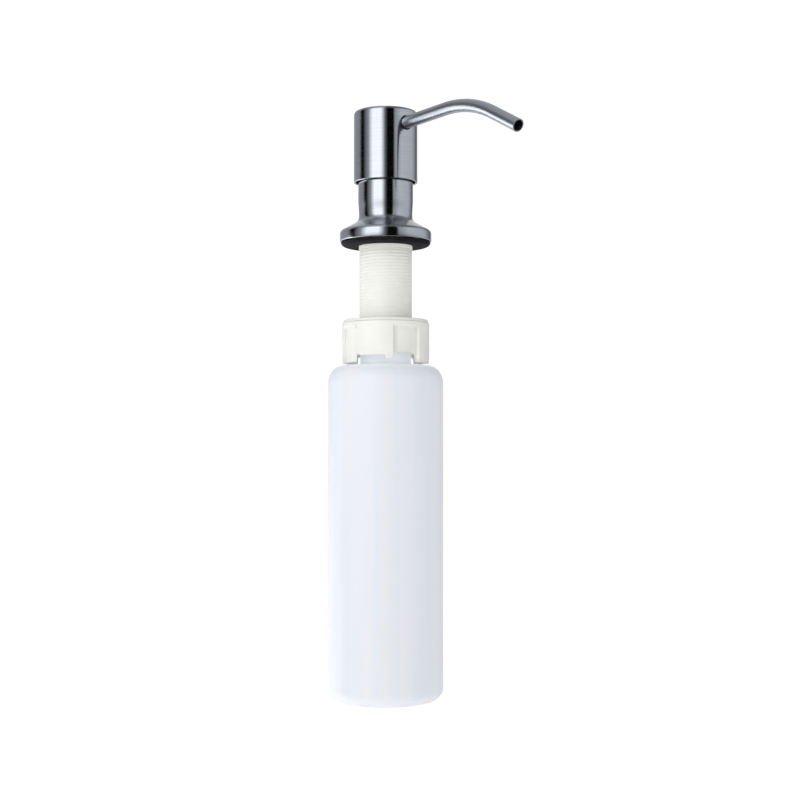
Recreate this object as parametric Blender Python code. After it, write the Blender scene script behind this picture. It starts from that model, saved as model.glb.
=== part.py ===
"""Built-in sink soap dispenser, as an assembly of its real pieces.

The origin is on the dispenser's axis, at the plane of the worktop that it is fitted in.
+Z is up and +X is the way that the spout points. Units are metres.

Above the worktop are the steel flange and the pump head with its spout. Below it are the
threaded shank, its clamp nut and the bottle. The pump hangs inside, in the shank.
"""

import math

import bmesh
import bpy
from mathutils import Matrix, Vector

MM = 0.001

# Driving dimensions
GAP = 0.3 * MM                  # between pieces that touch
SHANK_RADIUS = 12.5 * MM        # thread crest of the 25 mm shank
SHANK_BORE_RADIUS = 10.3 * MM
SHANK_LENGTH = 46.5 * MM        # below the worktop plane
HEAD_RADIUS = 15.1 * MM
HEAD_TOP = 64.1 * MM
HEAD_BOTTOM = 30.4 * MM
STEEL_WALL = 0.9 * MM
FLANGE_RADIUS = 21.75 * MM
BARREL_RADIUS = 13.05 * MM
BARREL_WAIST_RADIUS = 12.73 * MM
BARREL_BORE_RADIUS = 11.85 * MM
BARREL_TOP = 36.0 * MM
GASKET_THICKNESS = 2.0 * MM
BOTTLE_RADIUS = 27.4 * MM
BOTTLE_HEIGHT = 158.8 * MM      # shoulder to base
BOTTLE_WALL = 1.1 * MM
BOTTLE_SHOULDER_Z = -56.5 * MM
NECK_FINISH_RADIUS = 10.0 * MM
NUT_RADIUS = 20.7 * MM
NUT_TOP = -36.3 * MM
NUT_HEIGHT = 19.0 * MM
SPOUT_RADIUS = 2.95 * MM
SPOUT_BORE_RADIUS = 2.45 * MM
STROKE = 13.0 * MM              # travel of the pump head
STROKE_SPARE = 1.0 * MM         # left over the barrel at the bottom of a stroke
STEM_RADIUS = 3.5 * MM
STEM_BORE_RADIUS = 2.2 * MM

# Spout route in the XZ plane: a straight root, one bend, a straight nose
SPOUT_AXIS_Z = 55.8 * MM        # where the root's line meets the dispenser's axis
SPOUT_RISE = math.radians(3.4)
SPOUT_FALL = math.radians(28.0)
SPOUT_BEND_START_X = 42.0 * MM
SPOUT_BEND_RADIUS = 58.0 * MM
SPOUT_TIP_X = 88.7 * MM
SPOUT_INNER_X = 4.3 * MM        # inner end of the tube, inside the head

# Faces around each kind of round piece
LARGE_STEPS = 40
MEDIUM_STEPS = 28
SMALL_STEPS = 20
MERGE = 1e-7


# ---------------------------------------------------------------- helpers

def clear_scene():
    for old in list(bpy.data.objects):
        bpy.data.objects.remove(old, do_unlink=True)


def material(name, color, roughness, metallic=0.0):
    made = bpy.data.materials.new(name)
    made.use_nodes = True
    shader = made.node_tree.nodes["Principled BSDF"]
    shader.inputs["Base Color"].default_value = (*color, 1.0)
    shader.inputs["Roughness"].default_value = roughness
    shader.inputs["Metallic"].default_value = metallic
    made.diffuse_color = (*color, 1.0)
    return made


def add_object(name, mesh, look):
    made = bpy.data.objects.new(name, mesh)
    mesh.materials.append(look)
    bpy.context.scene.collection.objects.link(made)
    return made


def finish_mesh(name, bm):
    """A closed mesh from a bmesh, with its faces out, smooth but for its sharp edges."""
    bmesh.ops.remove_doubles(bm, verts=bm.verts, dist=MERGE)
    bmesh.ops.recalc_face_normals(bm, faces=bm.faces)
    mesh = bpy.data.meshes.new(name)
    bm.to_mesh(mesh)
    bm.free()
    mesh.shade_smooth()
    mesh.set_sharp_from_angle(angle=math.radians(35))
    return mesh


def arc(center_r, center_z, radius_r, radius_z, start_deg, end_deg, steps):
    """Points of an elliptical arc in the (radius, height) plane."""
    points = []
    for i in range(steps + 1):
        angle = math.radians(start_deg + (end_deg - start_deg) * i / steps)
        points.append((center_r + radius_r * math.cos(angle), center_z + radius_z * math.sin(angle)))
    return points


def turned_mesh(name, outline, steps):
    """Spins an outline of (radius, height) points about Z.

    An outline that starts and ends on the axis makes a solid without a bore. Any other is a
    closed loop and makes a ring.
    """
    bm = bmesh.new()
    verts = [bm.verts.new((radius, 0.0, height)) for radius, height in outline]
    edges = [bm.edges.new((verts[i], verts[i + 1])) for i in range(len(verts) - 1)]
    on_axis = outline[0][0] == 0.0 and outline[-1][0] == 0.0
    if not on_axis:
        edges.append(bm.edges.new((verts[-1], verts[0])))
    bmesh.ops.spin(
        bm, geom=verts + edges, cent=(0, 0, 0), axis=(0, 0, 1), dvec=(0, 0, 0),
        angle=math.tau, steps=steps, use_merge=True, use_duplicate=False,
    )
    return finish_mesh(name, bm)


def turned(name, outline, steps, look):
    return add_object(name, turned_mesh(name, outline, steps), look)


def ring(name, inner, outer, bottom, top, steps, look):
    outline = [(inner, top), (outer, top), (outer, bottom), (inner, bottom)]
    return turned(name, outline, steps, look)


def boolean(target, tool, operation):
    """Combines a scratch object with the target, and removes the scratch object."""
    step = target.modifiers.new(operation, "BOOLEAN")
    step.operation = operation
    step.solver = "EXACT"
    step.object = tool
    bpy.context.view_layer.update()
    depsgraph = bpy.context.evaluated_depsgraph_get()
    cut = bpy.data.meshes.new_from_object(target.evaluated_get(depsgraph))
    target.modifiers.remove(step)
    old = target.data
    target.data = cut
    bpy.data.meshes.remove(old)
    bpy.data.objects.remove(tool, do_unlink=True)
    cut.name = target.name
    cut.shade_smooth()
    cut.set_sharp_from_angle(angle=math.radians(35))


def tool_object(mesh):
    tool = bpy.data.objects.new(mesh.name, mesh)
    bpy.context.scene.collection.objects.link(tool)
    return tool


def cylinder_tool(radius, start, end, steps=SMALL_STEPS):
    """A cylinder between two points, for use in a boolean."""
    start = Vector(start)
    end = Vector(end)
    along = end - start
    bm = bmesh.new()
    turn = along.to_track_quat("Z", "Y").to_matrix().to_4x4()
    place = Matrix.Translation((start + end) / 2) @ turn
    bmesh.ops.create_cone(
        bm, cap_ends=True, segments=steps, radius1=radius, radius2=radius,
        depth=along.length, matrix=place,
    )
    return tool_object(finish_mesh("cylinder_tool", bm))


def box_tool(size, center, turn_z=0.0):
    bm = bmesh.new()
    bmesh.ops.create_cube(bm, size=1.0)
    bmesh.ops.scale(bm, vec=size, verts=bm.verts)
    bmesh.ops.translate(bm, vec=center, verts=bm.verts)
    bmesh.ops.rotate(bm, cent=(0, 0, 0), matrix=Matrix.Rotation(turn_z, 3, "Z"), verts=bm.verts)
    return tool_object(finish_mesh("box_tool", bm))


def swept_ring_rows(bm, centers, sides_of, radius, sides):
    """Rings of vertices around a route; sides_of gives each point's two cross directions."""
    rows = []
    for center, (across, up) in zip(centers, sides_of):
        row = []
        for k in range(sides):
            angle = math.tau * k / sides
            out = across * math.cos(angle) + up * math.sin(angle)
            row.append(bm.verts.new(center + out * radius))
        rows.append(row)
    return rows


def skin_rows(bm, rows):
    for row, after in zip(rows, rows[1:]):
        for k in range(len(row)):
            n = (k + 1) % len(row)
            bm.faces.new((row[k], row[n], after[n], after[k]))


# ---------------------------------------------------------------- looks

def make_looks():
    steel = (0.56, 0.58, 0.61)
    white = (0.86, 0.86, 0.83)
    return {
        "steel_head": material("steel_head", steel, 0.28, 1.0),
        "steel_spout": material("steel_spout", steel, 0.25, 1.0),
        "steel_flange": material("steel_flange", steel, 0.28, 1.0),
        "steel_spring": material("steel_spring", (0.6, 0.6, 0.6), 0.3, 1.0),
        "steel_ball": material("steel_ball", (0.7, 0.7, 0.7), 0.15, 1.0),
        "rubber_black": material("rubber_black", (0.02, 0.02, 0.022), 0.75),
        "rubber_seal": material("rubber_seal", (0.04, 0.04, 0.04), 0.65),
        "plastic_shank": material("plastic_shank", white, 0.5),
        "plastic_nut": material("plastic_nut", white, 0.45),
        "plastic_pump": material("plastic_pump", (0.8, 0.81, 0.82), 0.4),
        "plastic_piston": material("plastic_piston", (0.75, 0.78, 0.82), 0.45),
        "plastic_tube": material("plastic_tube", (0.85, 0.87, 0.9), 0.35),
        "plastic_bottle": material("plastic_bottle", (0.78, 0.82, 0.9), 0.4),
    }


# ---------------------------------------------------------------- above the worktop

FLANGE_LIP_TOP = 5.9 * MM
FLANGE_UNDERSIDE = GASKET_THICKNESS + GAP
FLARE_ANGLE = math.degrees(math.atan2(2.9, 5.35))   # slope of the flare below horizontal
FLARE_FILLET = 4.0 * MM
SHOULDER_FILLET = 2.2 * MM
WAIST_TOP_Z = 22.0 * MM
SHANK_DISC_RADIUS = 18.6 * MM
SHANK_DISC_TOP = 4.4 * MM


def flange_outline():
    """Barrel, waist and flared foot outside, then the hollow underside and the bore."""
    slope = math.radians(FLARE_ANGLE)
    reach = math.tan((math.pi / 2 - slope) / 2)     # tangent length of a fillet of radius 1
    foot_z = FLANGE_LIP_TOP + SHOULDER_FILLET * reach
    corner_z = foot_z + (FLANGE_RADIUS - BARREL_WAIST_RADIUS) * math.tan(slope)
    fillet_z = corner_z + FLARE_FILLET * reach
    bevel = 0.4 * MM
    outline = [
        (BARREL_BORE_RADIUS, BARREL_TOP),
        (BARREL_RADIUS - bevel, BARREL_TOP),
        (BARREL_RADIUS, BARREL_TOP - bevel),
        (BARREL_RADIUS, WAIST_TOP_Z),
        (BARREL_WAIST_RADIUS, WAIST_TOP_Z - 3 * MM),
    ]
    concave_center = BARREL_WAIST_RADIUS + FLARE_FILLET
    outline += arc(concave_center, fillet_z, FLARE_FILLET, FLARE_FILLET, 180, 270 - FLARE_ANGLE, 5)
    convex_center = FLANGE_RADIUS - SHOULDER_FILLET
    fillet = SHOULDER_FILLET
    outline += arc(convex_center, FLANGE_LIP_TOP, fillet, fillet, 90 - FLARE_ANGLE, 0, 5)
    rim = 1.2 * MM
    outline += [
        (FLANGE_RADIUS, FLANGE_UNDERSIDE + bevel),
        (FLANGE_RADIUS - bevel, FLANGE_UNDERSIDE),
        (FLANGE_RADIUS - rim, FLANGE_UNDERSIDE),
        (FLANGE_RADIUS - rim, SHANK_DISC_TOP + 1.1 * MM),
        (BARREL_BORE_RADIUS + 0.6 * MM, corner_z - 1.2 * MM),
        (BARREL_BORE_RADIUS, corner_z),
    ]
    return outline


def make_flange(looks):
    turned("flange_body", flange_outline(), LARGE_STEPS, looks["steel_flange"])
    top_radius = FLANGE_RADIUS - 0.5 * MM
    bottom_radius = 18.9 * MM
    outline = [(SHANK_RADIUS + GAP, GASKET_THICKNESS), (top_radius, GASKET_THICKNESS)]
    outline += arc(bottom_radius, GASKET_THICKNESS, top_radius - bottom_radius, GASKET_THICKNESS, -20, -90, 4)
    outline += [(SHANK_RADIUS + GAP, 0.0)]
    turned("flange_gasket", outline, LARGE_STEPS, looks["rubber_black"])


def spout_frame():
    """The root's start on the axis and its direction."""
    direction = Vector((math.cos(SPOUT_RISE), 0.0, math.sin(SPOUT_RISE)))
    return Vector((0.0, 0.0, SPOUT_AXIS_Z)), direction


def spout_point(x):
    """The point of the root's line at a given X."""
    start, direction = spout_frame()
    return start + direction * (x / direction.x)


HEAD_FILLET = 1.8 * MM
SPOUT_HOLE_RADIUS = SPOUT_RADIUS + 0.5 * MM
SPOUT_CUT_FROM_X = 10.0 * MM    # inside the head
SPOUT_CUT_TO_X = 20.0 * MM      # outside the head


def make_head_cap(looks):
    top_inside = HEAD_TOP - STEEL_WALL
    inner = HEAD_RADIUS - STEEL_WALL
    bevel = 0.3 * MM
    outline = [(0.0, HEAD_TOP)]
    fillet = HEAD_FILLET
    outline += arc(HEAD_RADIUS - fillet, HEAD_TOP - fillet, fillet, fillet, 90, 0, 4)
    outline += [
        (HEAD_RADIUS, HEAD_BOTTOM + bevel),
        (HEAD_RADIUS - bevel, HEAD_BOTTOM),
        (inner, HEAD_BOTTOM),
    ]
    outline += [(inner, top_inside - STEEL_WALL), (inner - STEEL_WALL, top_inside), (0.0, top_inside)]
    cap = turned("head_cap", outline, LARGE_STEPS, looks["steel_head"])
    hole = cylinder_tool(SPOUT_HOLE_RADIUS, spout_point(SPOUT_CUT_FROM_X), spout_point(SPOUT_CUT_TO_X))
    boolean(cap, hole, "DIFFERENCE")


CORE_BOTTOM = BARREL_TOP + STROKE + STROKE_SPARE
CORE_TOP = HEAD_TOP - STEEL_WALL - GAP
CORE_RADIUS = HEAD_RADIUS - STEEL_WALL - GAP
CORE_DISC = 3.2 * MM
CORE_HUB_RADIUS = 6.4 * MM
CORE_BOSS_RADIUS = 5.9 * MM
STEM_TOP = 53.0 * MM
O_RING_RADIUS = 0.75 * MM
O_RING_MIDDLE_X = 11.2 * MM
CORE_BOSS_END_X = 12.3 * MM


def make_head_core(looks):
    """The moulded insert that joins the stem to the spout inside the cap."""
    corner = 1.1 * MM
    outline = [
        (0.0, CORE_TOP),
        (CORE_RADIUS - corner, CORE_TOP),
        (CORE_RADIUS, CORE_TOP - corner),
        (CORE_RADIUS, CORE_TOP - CORE_DISC),
        (CORE_HUB_RADIUS, CORE_TOP - CORE_DISC),
        (CORE_HUB_RADIUS, CORE_BOTTOM),
        (0.0, CORE_BOTTOM),
    ]
    core = turned("head_core", outline, MEDIUM_STEPS, looks["plastic_pump"])
    rib_top = CORE_TOP - CORE_DISC / 2
    rib_bottom = CORE_BOTTOM + 1.0 * MM
    rib_inner = CORE_HUB_RADIUS / 2
    rib_outer = CORE_RADIUS - 0.2 * MM
    rib_size = (rib_outer - rib_inner, 1.6 * MM, rib_top - rib_bottom)
    rib_center = ((rib_outer + rib_inner) / 2, 0.0, (rib_top + rib_bottom) / 2)
    for quarter in (1, 2, 3):
        boolean(core, box_tool(rib_size, rib_center, quarter * math.pi / 2), "UNION")
    boss = cylinder_tool(CORE_BOSS_RADIUS, spout_point(2 * MM), spout_point(CORE_BOSS_END_X))
    boolean(core, boss, "UNION")
    stem_socket = cylinder_tool(STEM_RADIUS + GAP, (0, 0, CORE_BOTTOM - 1 * MM), (0, 0, STEM_TOP + GAP))
    boolean(core, stem_socket, "DIFFERENCE")
    riser = cylinder_tool(STEM_BORE_RADIUS, (0, 0, CORE_BOTTOM), (0, 0, SPOUT_AXIS_Z + 1.5 * MM))
    boolean(core, riser, "DIFFERENCE")
    passage_radius = STEM_BORE_RADIUS - 0.2 * MM
    passage = cylinder_tool(passage_radius, spout_point(-1.5 * MM), spout_point(2 * SPOUT_INNER_X))
    boolean(core, passage, "DIFFERENCE")
    past_boss = spout_point(SPOUT_CUT_TO_X)
    root_socket = cylinder_tool(SPOUT_RADIUS + GAP, spout_point(SPOUT_INNER_X - GAP), past_boss)
    boolean(core, root_socket, "DIFFERENCE")
    groove_start = O_RING_MIDDLE_X - O_RING_RADIUS - GAP
    groove_radius = SPOUT_RADIUS + 2 * GAP + 2 * O_RING_RADIUS
    groove = cylinder_tool(groove_radius, spout_point(groove_start), past_boss)
    boolean(core, groove, "DIFFERENCE")

    major = SPOUT_RADIUS + GAP + O_RING_RADIUS
    section = arc(major, 0.0, O_RING_RADIUS, O_RING_RADIUS, 0, 315, 7)
    o_ring = turned("spout_o_ring", section, SMALL_STEPS, looks["rubber_seal"])
    o_ring.location = spout_point(O_RING_MIDDLE_X)
    o_ring.rotation_euler = (0.0, math.pi / 2 - SPOUT_RISE, 0.0)


def spout_route():
    """Centres and headings along the spout, from its inner end to its tip."""
    route = [(spout_point(SPOUT_INNER_X), SPOUT_RISE)]
    bend_start = spout_point(SPOUT_BEND_START_X)
    bend_steps = 9
    for i in range(bend_steps + 1):
        heading = SPOUT_RISE - (SPOUT_RISE + SPOUT_FALL) * i / bend_steps
        x = bend_start.x + SPOUT_BEND_RADIUS * (math.sin(SPOUT_RISE) - math.sin(heading))
        z = bend_start.z - SPOUT_BEND_RADIUS * (math.cos(SPOUT_RISE) - math.cos(heading))
        route.append((Vector((x, 0.0, z)), heading))
    last, heading = route[-1]
    nose = (SPOUT_TIP_X - last.x) / math.cos(heading)
    tip = last + Vector((math.cos(heading), 0.0, math.sin(heading))) * nose
    route.append((tip, heading))
    return route


def make_spout(looks):
    route = spout_route()
    centers = [point for point, _ in route]
    crosses = [(Vector((0, 1, 0)), Vector((-math.sin(h), 0, math.cos(h)))) for _, h in route]
    sides = 20
    bm = bmesh.new()
    outside = swept_ring_rows(bm, centers, crosses, SPOUT_RADIUS, sides)
    inside = swept_ring_rows(bm, centers, crosses, SPOUT_BORE_RADIUS, sides)
    skin_rows(bm, outside)
    skin_rows(bm, inside)
    skin_rows(bm, [outside[0], inside[0]])
    skin_rows(bm, [outside[-1], inside[-1]])
    add_object("spout", finish_mesh("spout", bm), looks["steel_spout"])


# ---------------------------------------------------------------- the pump

SHANK_NECK_RADIUS = 11.5 * MM
SHANK_NECK_TOP = 30.6 * MM
SEAT_GASKET_THICKNESS = 1.2 * MM
PUMP_FLANGE_RADIUS = 11.2 * MM
PUMP_FLANGE_BOTTOM = SHANK_NECK_TOP + SEAT_GASKET_THICKNESS + 2 * GAP
PUMP_FLANGE_TOP = PUMP_FLANGE_BOTTOM + 1.2 * MM
PUMP_BODY_RADIUS = 7.0 * MM
PUMP_BORE_RADIUS = 6.0 * MM
SPRING_LEDGE_Z = -5.2 * MM
BALL_POCKET_RADIUS = 2.8 * MM
BALL_POCKET_Z = -8.7 * MM
BALL_SEAT_RADIUS = 1.4 * MM
BALL_SEAT_Z = -9.6 * MM
TUBE_SOCKET_Z = -11.0 * MM
PUMP_BOTTOM_Z = -18.0 * MM
DIP_TUBE_RADIUS = 3.0 * MM
DIP_TUBE_BORE_RADIUS = 2.2 * MM
DIP_TUBE_BOTTOM_Z = -210.5 * MM
BALL_RADIUS = 2.2 * MM
CHAPLET_BOTTOM = 27.5 * MM
PISTON_BOTTOM = 19.0 * MM
PISTON_HEIGHT = 6.4 * MM
FOOT_DISC_TOP = PISTON_BOTTOM - GAP
FOOT_DISC_BOTTOM = FOOT_DISC_TOP - 1.6 * MM
SPRING_WIRE_RADIUS = 0.45 * MM
SPRING_COIL_RADIUS = 4.6 * MM
SPRING_TURNS = 8


def make_pump_housing(looks):
    white = looks["plastic_pump"]
    nozzle_radius = 4.4 * MM
    outline = [
        (PUMP_BORE_RADIUS, PUMP_FLANGE_TOP),
        (PUMP_FLANGE_RADIUS, PUMP_FLANGE_TOP),
        (PUMP_FLANGE_RADIUS, PUMP_FLANGE_BOTTOM),
        (PUMP_BODY_RADIUS, PUMP_FLANGE_BOTTOM),
        (PUMP_BODY_RADIUS, SPRING_LEDGE_Z - 1.5 * MM),
        (nozzle_radius, BALL_SEAT_Z - 1.0 * MM),
        (nozzle_radius, PUMP_BOTTOM_Z),
        (DIP_TUBE_RADIUS + GAP, PUMP_BOTTOM_Z),
        (DIP_TUBE_RADIUS + GAP, TUBE_SOCKET_Z),
        (BALL_SEAT_RADIUS, TUBE_SOCKET_Z),
        (BALL_SEAT_RADIUS, BALL_SEAT_Z),
        (BALL_POCKET_RADIUS, BALL_POCKET_Z),
        (BALL_POCKET_RADIUS, SPRING_LEDGE_Z),
        (PUMP_BORE_RADIUS, SPRING_LEDGE_Z),
    ]
    turned("pump_cylinder", outline, MEDIUM_STEPS, white)
    seat = SHANK_NECK_TOP + GAP
    ring(
        "pump_seat_gasket", PUMP_BODY_RADIUS + GAP, PUMP_FLANGE_RADIUS,
        seat, seat + SEAT_GASKET_THICKNESS, MEDIUM_STEPS, looks["rubber_seal"],
    )

    hole = STEM_RADIUS + GAP
    cap_bottom = PUMP_FLANGE_TOP + GAP
    guide_flange_top = cap_bottom + 1.0 * MM
    guide_flange_radius = 8.0 * MM
    outline = [
        (hole, guide_flange_top),
        (guide_flange_radius, guide_flange_top),
        (guide_flange_radius, cap_bottom),
        (PUMP_BORE_RADIUS - GAP, cap_bottom),
        (PUMP_BORE_RADIUS - GAP, CHAPLET_BOTTOM),
        (hole, CHAPLET_BOTTOM),
    ]
    turned("pump_chaplet", outline, MEDIUM_STEPS, looks["plastic_piston"])

    collar_radius = BARREL_BORE_RADIUS - GAP
    outline = [
        (hole, BARREL_TOP),
        (collar_radius, BARREL_TOP),
        (collar_radius, cap_bottom),
        (guide_flange_radius + GAP, cap_bottom),
        (guide_flange_radius + GAP, guide_flange_top + GAP),
        (hole, guide_flange_top + GAP),
    ]
    turned("pump_collar", outline, MEDIUM_STEPS, white)
    ring(
        "dip_tube", DIP_TUBE_BORE_RADIUS, DIP_TUBE_RADIUS, DIP_TUBE_BOTTOM_Z, TUBE_SOCKET_Z - GAP,
        SMALL_STEPS, looks["plastic_tube"],
    )


def make_inlet_ball(looks):
    """The ball rests on the edge of its seat, a hair above it."""
    lift = 0.1 * MM
    height = math.sqrt((BALL_RADIUS + lift) ** 2 - BALL_SEAT_RADIUS ** 2)
    bm = bmesh.new()
    bmesh.ops.create_icosphere(bm, subdivisions=2, radius=BALL_RADIUS)
    ball = add_object("inlet_ball", finish_mesh("inlet_ball", bm), looks["steel_ball"])
    ball.location = (0.0, 0.0, BALL_SEAT_Z + height)


def make_return_spring(looks):
    bottom = SPRING_LEDGE_Z + GAP + SPRING_WIRE_RADIUS
    top = FOOT_DISC_BOTTOM - GAP - SPRING_WIRE_RADIUS
    steps_per_turn = 14
    count = SPRING_TURNS * steps_per_turn
    centers = []
    crosses = []
    for i in range(count + 1):
        angle = math.tau * i / steps_per_turn
        out = Vector((math.cos(angle), math.sin(angle), 0.0))
        centers.append(out * SPRING_COIL_RADIUS + Vector((0.0, 0.0, bottom + (top - bottom) * i / count)))
        crosses.append((out, Vector((0.0, 0.0, 1.0))))
    bm = bmesh.new()
    rows = swept_ring_rows(bm, centers, crosses, SPRING_WIRE_RADIUS, 6)
    skin_rows(bm, rows)
    bm.faces.new(rows[0])
    bm.faces.new(rows[-1])
    add_object("return_spring", finish_mesh("return_spring", bm), looks["steel_spring"])


def make_plunger(looks):
    piston_top = PISTON_BOTTOM + PISTON_HEIGHT
    lip = PUMP_BORE_RADIUS - 0.1 * MM
    waist = PUMP_BORE_RADIUS - 0.9 * MM
    outline = [
        (STEM_RADIUS + GAP, piston_top),
        (lip, piston_top),
        (waist, piston_top - 1.6 * MM),
        (waist, PISTON_BOTTOM + 1.6 * MM),
        (lip, PISTON_BOTTOM),
        (STEM_RADIUS + GAP, PISTON_BOTTOM),
    ]
    turned("piston", outline, MEDIUM_STEPS, looks["plastic_piston"])

    foot_shaft = STEM_BORE_RADIUS - GAP
    foot_disc = 5.0 * MM
    outline = [
        (0.0, FOOT_DISC_TOP + 9.0 * MM),
        (foot_shaft, FOOT_DISC_TOP + 9.0 * MM),
        (foot_shaft, FOOT_DISC_TOP),
        (foot_disc, FOOT_DISC_TOP),
        (foot_disc, FOOT_DISC_BOTTOM),
        (0.0, FOOT_DISC_BOTTOM),
    ]
    turned("stem_foot", outline, SMALL_STEPS, looks["plastic_pump"])

    collar_bottom = piston_top + GAP
    collar_top = CHAPLET_BOTTOM - GAP
    collar_radius = 5.2 * MM
    outline = [
        (STEM_BORE_RADIUS, STEM_TOP),
        (STEM_RADIUS, STEM_TOP),
        (STEM_RADIUS, collar_top),
        (collar_radius, collar_top),
        (collar_radius, collar_bottom),
        (STEM_RADIUS, collar_bottom),
        (STEM_RADIUS, PISTON_BOTTOM + GAP),
        (STEM_BORE_RADIUS, PISTON_BOTTOM + GAP),
    ]
    turned("stem", outline, SMALL_STEPS, looks["plastic_pump"])


# ---------------------------------------------------------------- below the worktop

NUT_THREAD_RADIUS = SHANK_RADIUS + GAP
NUT_SKIRT_INNER = 17.8 * MM
NUT_THREAD_HEIGHT = 9.7 * MM
NUT_PANEL_RADIUS = 19.3 * MM
NUT_RIM_HEIGHT = 2.4 * MM
NUT_PAD_MIDDLE = -55.5          # degrees from +X to the middle of one grip pad
NUT_PANEL_WIDTH = 39.0          # degrees
NUT_PADS = 4
NUT_ARCH_MIDDLE = -38.3
NUT_ARCH_WIDTH = 80.0
NUT_RAMP = 1.5                  # degrees of draft at the sides of panels and arches
NUT_ARCH_HEIGHT = 3.2 * MM
WASHER_THICKNESS = 1.2 * MM


def make_shank(looks):
    """Threaded tube with a disc that sits in the flange and a neck that carries the pump.

    The thread is stood in for by a plain cylinder at its crest.
    """
    edge = 0.5 * MM
    outline = [
        (SHANK_BORE_RADIUS, SHANK_NECK_TOP),
        (SHANK_NECK_RADIUS, SHANK_NECK_TOP),
        (SHANK_NECK_RADIUS, SHANK_DISC_TOP),
        (SHANK_DISC_RADIUS, SHANK_DISC_TOP),
        (SHANK_DISC_RADIUS, GASKET_THICKNESS + GAP),
        (SHANK_RADIUS, GASKET_THICKNESS + GAP),
        (SHANK_RADIUS, edge - SHANK_LENGTH),
        (SHANK_RADIUS - edge, -SHANK_LENGTH),
        (SHANK_BORE_RADIUS, -SHANK_LENGTH),
    ]
    turned("shank", outline, LARGE_STEPS, looks["plastic_shank"])


def inside_amount(angle_deg, middle_deg, width_deg):
    """1 inside a stretch of angles, 0 outside it, with a short ramp at each end."""
    away = abs((angle_deg - middle_deg + 180) % 360 - 180)
    return min(1.0, max(0.0, (width_deg / 2 + NUT_RAMP / 2 - away) / NUT_RAMP))


def nut_stretches():
    """Middle and width, in degrees, of the nut's sunk panels and of its skirt's arches."""
    panels = [(NUT_PAD_MIDDLE + 360 / NUT_PADS * (pad + 0.5), NUT_PANEL_WIDTH) for pad in range(NUT_PADS)]
    arches = [(NUT_ARCH_MIDDLE, NUT_ARCH_WIDTH), (NUT_ARCH_MIDDLE + 180, NUT_ARCH_WIDTH)]
    return panels, arches


def nut_angles():
    """A regular set of angles, with both ends of each ramp put in."""
    panels, arches = nut_stretches()
    ramps = []
    for middle, width in panels + arches:
        for side in (-1, 1):
            for end in (-1, 1):
                ramps.append((middle + side * width / 2 + end * NUT_RAMP / 2) % 360)
    spacing = 360 / LARGE_STEPS
    regular = [i * spacing for i in range(LARGE_STEPS)]
    apart = 0.3 * spacing
    kept = [a for a in regular if all(abs((a - ramp + 180) % 360 - 180) > apart for ramp in ramps)]
    return sorted(kept + ramps)


def nut_outline(angle_deg):
    """The nut's section at one angle, as a closed loop of (radius, height) points."""
    panels, arches = nut_stretches()
    sunk = max(inside_amount(angle_deg, *panel) for panel in panels)
    arched = max(inside_amount(angle_deg, *arch) for arch in arches)
    outer = NUT_RADIUS + (NUT_PANEL_RADIUS - NUT_RADIUS) * sunk
    bottom = NUT_TOP - NUT_HEIGHT + NUT_ARCH_HEIGHT * arched
    rim = NUT_TOP - NUT_RIM_HEIGHT
    edge = 0.6 * MM
    thread_bottom = NUT_TOP - NUT_THREAD_HEIGHT
    return [
        (NUT_THREAD_RADIUS, NUT_TOP),
        (NUT_RADIUS - edge, NUT_TOP),
        (NUT_RADIUS, NUT_TOP - edge),
        (NUT_RADIUS, rim),
        (outer, rim),
        (outer, bottom),
        (NUT_SKIRT_INNER, bottom),
        (NUT_SKIRT_INNER, thread_bottom),
        (NUT_THREAD_RADIUS, thread_bottom),
    ]


def make_clamp_nut(looks):
    ring(
        "clamp_washer", NUT_THREAD_RADIUS, NUT_RADIUS - 1.0 * MM,
        NUT_TOP + GAP, NUT_TOP + GAP + WASHER_THICKNESS, LARGE_STEPS, looks["plastic_nut"],
    )
    bm = bmesh.new()
    rows = []
    for angle_deg in nut_angles():
        angle = math.radians(angle_deg)
        outline = nut_outline(angle_deg)
        rows.append([bm.verts.new((r * math.cos(angle), r * math.sin(angle), z)) for r, z in outline])
    skin_rows(bm, rows + rows[:1])
    add_object("clamp_nut", finish_mesh("clamp_nut", bm), looks["plastic_nut"])


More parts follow.
